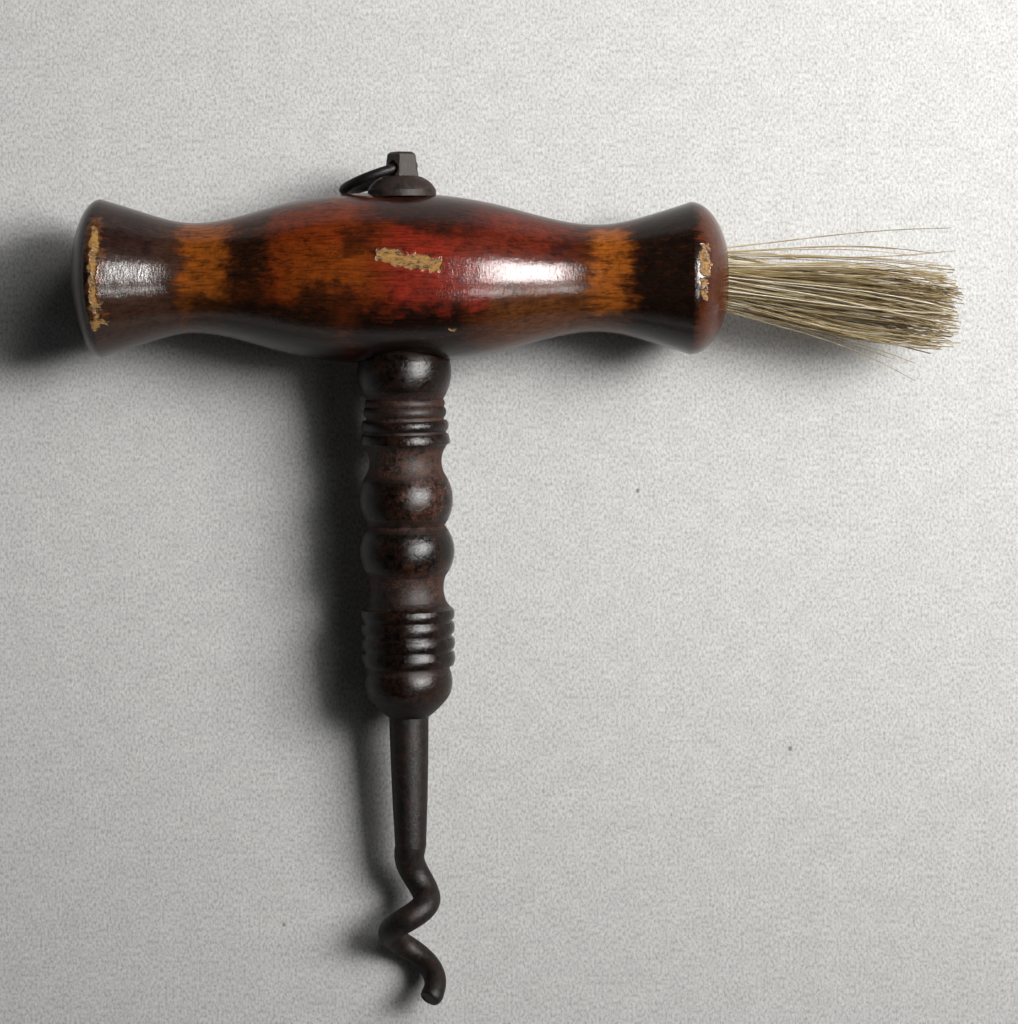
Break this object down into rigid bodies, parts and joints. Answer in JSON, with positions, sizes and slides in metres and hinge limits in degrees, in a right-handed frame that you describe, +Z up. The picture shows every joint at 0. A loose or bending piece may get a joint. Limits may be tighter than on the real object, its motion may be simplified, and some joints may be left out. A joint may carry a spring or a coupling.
{
  "type": "corkscrew",
  "caption": "Straight-pull corkscrew with a turned wooden cross handle, a dusting brush in one end, an iron baluster stem, a broken worm and a swinging hanging ring.",
  "frame": {"origin": "centre of the outline seen from above, on the table that the corkscrew lies on", "axes": "+X along the handle towards the brush, +Y from the worm towards the nub and ring, +Z up"},
  "size_m": [0.135, 0.1312, 0.026],
  "materials": {
    "varnished_wood": "dark red-brown stained and varnished, worn to bare wood in patches",
    "forged_iron": "brown patina with rust in the grooves",
    "rove_iron": "brown patina, rubbed on the dome",
    "wire_iron": "dark brown patina",
    "bristle": "straw-coloured natural bristle",
    "binding_thread": "waxed thread",
    "setting_pitch": "black setting pitch"
  },
  "bodies": {
    "corkscrew": {"handle": "varnished_wood", "stem": "forged_iron", "rove": "rove_iron", "bristle_tuft": "bristle", "tuft_binding": "binding_thread", "pitch_plug": "setting_pitch"},
    "ring": {"hanging_ring": "wire_iron"}
  },
  "joints": [
    {"name": "ring_swing", "type": "hinge", "parent": "corkscrew", "child": "ring", "pos_m": [-0.01733, 0.06326, 0.01425], "axis": [0.657, 0.2344, -0.7165], "range_deg": [-1.5, 195]}
  ]
}
